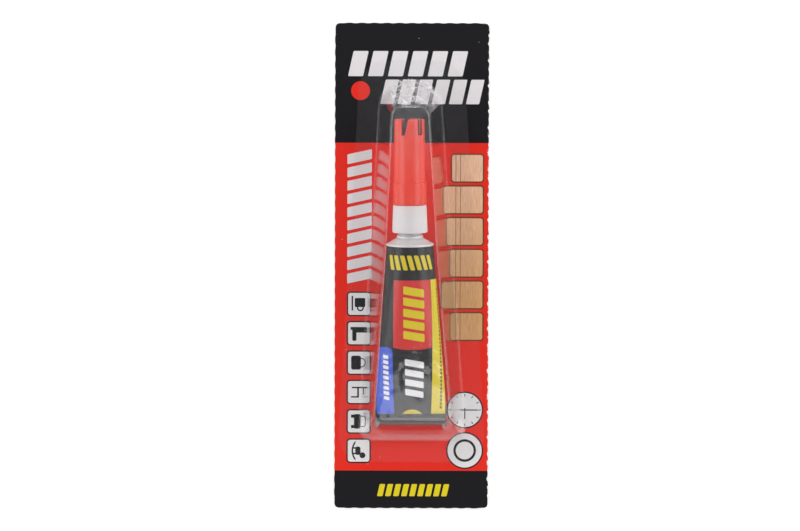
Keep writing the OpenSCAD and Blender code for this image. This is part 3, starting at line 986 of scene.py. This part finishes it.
class GLUE_OT_cap(Operator):
    """Turn the cap and cut the slots of its crown"""

    bl_idname = "glue.cap"
    bl_label = "Cap"

    def cutter(self, size, index):
        """A block for one slot; the first one is taken in at both sides and widens on its right."""
        above, beside = 0.4 * MM, 0.6 * MM
        height = size.slot_depth + above
        middle = (size.crown + size.top_radius) / 2
        block = added(
            bpy.ops.mesh.primitive_cube_add, size=1, location=(0, -middle, size.top + above - height / 2)
        )
        block.scale = (size.slot_width, size.top_radius - size.crown + 2 * beside, height)
        apply_place(block)
        if index == 0:
            flare = size.slot_flare * height / size.slot_depth
            with editing(block):
                pick_edges(block, lambda point: point.x < 0)
                bpy.ops.transform.translate(value=(size.slot_pinch, 0, 0))
                pick_edges(block, lambda point: point.x > 0)
                bpy.ops.transform.translate(value=(-size.slot_pinch / 2, 0, 0))
                pick_edges(block, lambda point: point.z > size.top and point.x > 0)
                bpy.ops.transform.translate(value=(flare, 0, 0))
        block.rotation_euler.z = size.slot_turn + math.tau * index / size.slots
        apply_place(block)
        return block

    def execute(self, context):
        size = context.scene.glue_tube.cap
        edge, lip, nick, chamfer = 0.35 * MM, 0.12 * MM, 0.1 * MM, 0.25 * MM
        crown_edge, floor_edge = 0.15 * MM, 0.3 * MM
        axis, hollow_top, hollow_foot = 0.1 * MM, 1.4 * MM, 2.8 * MM
        pin_top = size.floor_from + 1.03 * MM
        cap = turned([
            (axis, pin_top),
            (size.pin_seat, pin_top),
            (size.pin_seat, size.floor_from),
            (hollow_top, size.floor_from),
            (hollow_foot, size.bore_to),
            (size.bore, size.bore_to),
            (size.bore, size.foot + chamfer),
            (size.bore + chamfer, size.foot),
            *arc((size.band_radius - lip, size.foot + lip), lip, -90, 0, 4),
            *arc((size.band_radius - lip, size.band - lip), lip, 0, 90, 4),
            *arc((size.waist_radius + nick, size.band + nick), nick, 270, 180, 3),
            *arc((size.top_radius - edge, size.top - edge), edge, 0, 90),
            *arc((size.crown + crown_edge, size.top - crown_edge), crown_edge, 90, 180, 3),
            *arc((size.crown - floor_edge, size.floor_to + floor_edge), floor_edge, 0, -90, 4),
            (axis, size.floor_to),
        ], 128)
        cutters = join([self.cutter(size, index) for index in range(size.slots)], "slot_cutters")
        modify(cap, "BOOLEAN", object=cutters, operation="DIFFERENCE", solver="EXACT")
        bpy.data.objects.remove(cutters)
        lay_on_axis(named(cap, "crowned_cap"))
        smooth(cap, 35)
        dress(cap, cap_plastic(size), "cap", "cap")
        return {"FINISHED"}


class GLUE_OT_film(Operator):
    """Form the clear blister: roof, flared walls and sealed flange"""

    bl_idname = "glue.film"
    bl_label = "Clear blister"

    def outline(self, middles, places, halves, heights, corners):
        """A ring of edges through three pairs of points, with its corners rounded at head and tail."""
        outline = added(bpy.ops.mesh.primitive_plane_add, size=2)
        with editing(outline):
            for side in (-1, 1):
                pick_edges(outline, lambda point: point.x * side > 0)
                bpy.ops.mesh.subdivide(number_cuts=1)
            mesh = bmesh.from_edit_mesh(outline.data)
            for vertex in mesh.verts:
                station = 1 - round(vertex.co.y)
                across = middles[station] + round(vertex.co.x) * halves[station]
                vertex.co = (across, places[station], heights[station])
            for place, corner in zip((places[0], places[2]), corners):
                pick_edges(outline, lambda point: abs(point.y - place) < 0.001 * MM)
                bpy.ops.mesh.bevel(offset=corner, segments=10, affect="VERTICES", clamp_overlap=False)
            bpy.ops.mesh.select_all(action="SELECT")
            bpy.ops.mesh.delete(type="ONLY_FACE")
        return outline

    def execute(self, context):
        size = context.scene.glue_tube.film
        lift, hair, knee_edge, roof_rim = 0.03 * MM, 0.005 * MM, 0.35 * MM, 0.4 * MM
        flat = FILM_BOX[0].z + size.thickness + lift
        foot = flat + 2 * hair
        knee = foot + size.knee
        roof = [FILM_BOX[1].z + size.slope * (y - size.roof_y[0]) for y in size.roof_y]
        half_knee, half_way, over_all = (foot + knee) / 2, (knee + roof[2]) / 2, 2 * roof[0]
        corners = list(zip(size.head_corners, size.tail_corners))
        middle = size.middle
        film = join([
            self.outline(middle, size.roof_y, size.roof_half, roof, corners[0]),
            self.outline(
                middle, size.knee_y, size.knee_half, [knee] * 3, (corners[1][0], size.knee_corner)
            ),
            self.outline(middle, size.foot_y, size.foot_half, [foot] * 3, corners[1]),
            self.outline((0, 0, 0), size.flange_y, size.flange_half, [flat] * 3, corners[2]),
        ], "clear_blister")
        with editing(film):
            for low, high in ((0, half_knee), (flat + hair, half_way), (half_knee, over_all)):
                pick_between(film, low, high)
                bpy.ops.mesh.bridge_edge_loops()
            pick_between(film, half_way, over_all)
            bpy.ops.mesh.edge_face_add()
            for low, high, edge, segments in (
                (half_way, over_all, size.roof_edge, 6),
                (knee - hair, knee + hair, knee_edge, 3),
                (foot - hair, foot + hair, size.foot_edge, 4),
            ):
                pick_between(film, low, high)
                bpy.ops.mesh.bevel(offset=edge, segments=segments, affect="EDGES")
            face_outward()
            mesh = bmesh.from_edit_mesh(film.data)
            top = max(mesh.faces, key=lambda face: face.calc_area())
            if top.normal.z < 0:
                bpy.ops.mesh.flip_normals()
            bpy.ops.mesh.select_mode(type="FACE")
            bpy.ops.mesh.select_all(action="DESELECT")
            top.select_set(True)
            bpy.ops.mesh.inset(thickness=roof_rim)
        modify(film, "SOLIDIFY", thickness=size.thickness, offset=-1, use_even_offset=True)
        smooth(film, 40)
        dress(film, clear_film(size), "blister", "blister")
        return {"FINISHED"}


class GLUE_OT_stage(Operator):
    """Set up the camera, the soft light and the pale floor"""

    bl_idname = "glue.stage"
    bl_label = "Stage"

    def panel(self, name, place, size, light, turn=None):
        """A soft panel of light with an even glow, which faces the part or is turned as given."""
        lamp = added(bpy.ops.object.light_add, type="AREA", location=place)
        lamp.name = name
        lamp.rotation_euler = turn or Vector(place).to_track_quat("Z", "Y").to_euler()
        lamp.data.shape = "RECTANGLE"
        lamp.data.size, lamp.data.size_y = size
        lamp.data.energy = light * math.pi * size[0] * size[1]

    def sky(self, context, stage):
        """A studio whose walls are lighter than its ceiling."""
        studio = Finish("studio", "worlds")
        up = studio.parts(studio.node("TexCoord", output="Generated"))[2]
        ramp = {
            "Value": up, "From Min": 0.25, "From Max": 0.85,
            "To Min": stage.horizon, "To Max": stage.ceiling,
        }
        light = studio.node("MapRange", ramp, interpolation_type="SMOOTHSTEP")
        back = studio.node("Background", {"Strength": light})
        studio.node("OutputWorld", {"Surface": back})
        context.scene.world = studio.block

    def floor(self, stage):
        """A pale floor, lifted to white where it is seen, that keeps the part's shadow."""
        floor = added(bpy.ops.mesh.primitive_plane_add, size=8, location=(0, 0, -0.2 * MM))
        named(floor, "floor")
        finish = Finish("pale_floor")
        path = finish.node("LightPath").socket.node.outputs
        camera, glossy, through = (
            Shade(finish, path[f"Is {kind} Ray"]) for kind in ("Camera", "Glossy", "Transmission")
        )
        seen = camera.highest(glossy).highest(through)
        matt = finish.node("BsdfDiffuse", {"Color": (*stage.floor, 1)})
        glow = finish.node("Emission", {"Strength": seen * stage.glow})
        floor.data.materials.append(finish.surface(finish.node("AddShader", [matt, glow])))

    def camera(self, context, stage):
        """A camera nearly straight over the card."""
        away = stage.distance * Vector((0, math.sin(stage.lean), math.cos(stage.lean)))
        camera = added(
            bpy.ops.object.camera_add,
            location=Vector(stage.aim) + away, rotation=(-stage.lean, 0, stage.roll),
        )
        camera.data.lens = stage.lens
        camera.data.clip_start = 0.01
        context.scene.camera = camera

    def execute(self, context):
        stage = context.scene.glue_tube.stage
        self.panel("left_panel", (-0.87, 0, 0.61), (1.7, 0.6), stage.side)
        self.panel("right_panel", (0.87, 0, 0.61), (1.7, 0.6), stage.side)
        self.panel("head_panel", (0, 0.75, 0.5), (0.3, 0.2), stage.head)
        self.panel(
            "upper_panel", (0.1165, -0.193, 0.7), (0.3, 0.08), stage.upper, (0, 0, math.radians(-25))
        )
        self.sky(context, stage)
        self.floor(stage)
        self.camera(context, stage)
        context.scene.view_settings.view_transform = "Standard"
        return {"FINISHED"}


class GLUE_PT_sidebar(Panel):
    """The steps of the build, in order"""

    bl_idname = "GLUE_PT_sidebar"
    bl_label = "Glue Tube"
    bl_space_type = "VIEW_3D"
    bl_region_type = "UI"
    bl_category = "Glue Tube"

    def draw(self, context):
        for step in STEPS:
            self.layout.operator(step.bl_idname)


STEPS = (
    GLUE_OT_card, GLUE_OT_tube, GLUE_OT_filling, GLUE_OT_nozzle, GLUE_OT_cap, GLUE_OT_film, GLUE_OT_stage
)
CLASSES = (
    TubeSettings, NozzleSettings, CapSettings, FilmSettings, CardSettings, StageSettings, GlueTubeSettings,
    *STEPS, GLUE_PT_sidebar,
)


def register():
    for kind in CLASSES:
        bpy.utils.register_class(kind)
    bpy.types.Scene.glue_tube = PointerProperty(
        type=GlueTubeSettings, name="Glue tube", description="Settings of the glue tube"
    )


def unregister():
    del bpy.types.Scene.glue_tube
    for kind in reversed(CLASSES):
        bpy.utils.unregister_class(kind)


def main():
    register()
    bpy.ops.glue.card()
    bpy.ops.glue.tube()
    bpy.ops.glue.filling()
    bpy.ops.glue.nozzle()
    bpy.ops.glue.cap()
    bpy.ops.glue.film()
    bpy.ops.glue.stage()


if __name__ == "__main__":
    main()
